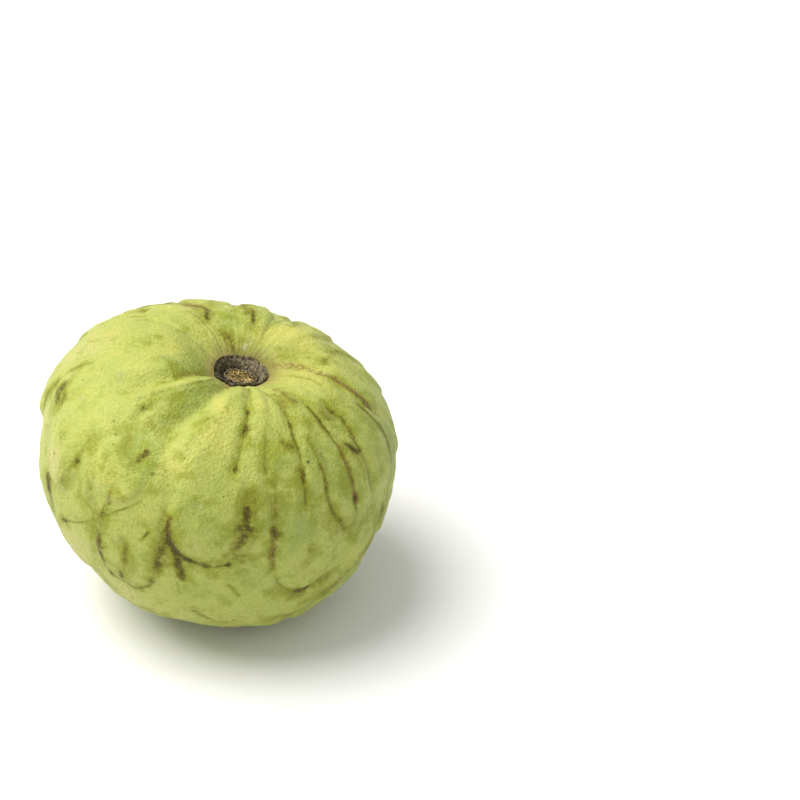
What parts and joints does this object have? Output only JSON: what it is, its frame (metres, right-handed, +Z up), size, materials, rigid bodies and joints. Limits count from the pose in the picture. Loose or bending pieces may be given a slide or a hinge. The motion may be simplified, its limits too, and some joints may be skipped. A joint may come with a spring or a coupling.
{
  "type": "cherimoya fruit",
  "caption": "Whole cherimoya with shallow overlapping scale pads, a folded stem hollow and a woody stem stub, resting on a small flat spot.",
  "frame": {"origin": "on the surface that the fruit rests on, below the middle of its bounding box", "axes": "+Z up; -Y is the front that the picture shows; the stem hollow faces up and leans towards +X"},
  "size_m": [0.1006, 0.1014, 0.0813],
  "materials": {
    "skin": "velvety yellow green skin with olive brown smudges along the scale outlines, matt to satin",
    "stem_wood": "dry, rough, grey brown corky wood with a tan, pitted cut face"
  },
  "bodies": {
    "root": {"fruit": "skin", "stem_stub": "stem_wood"}
  },
  "joints": []
}
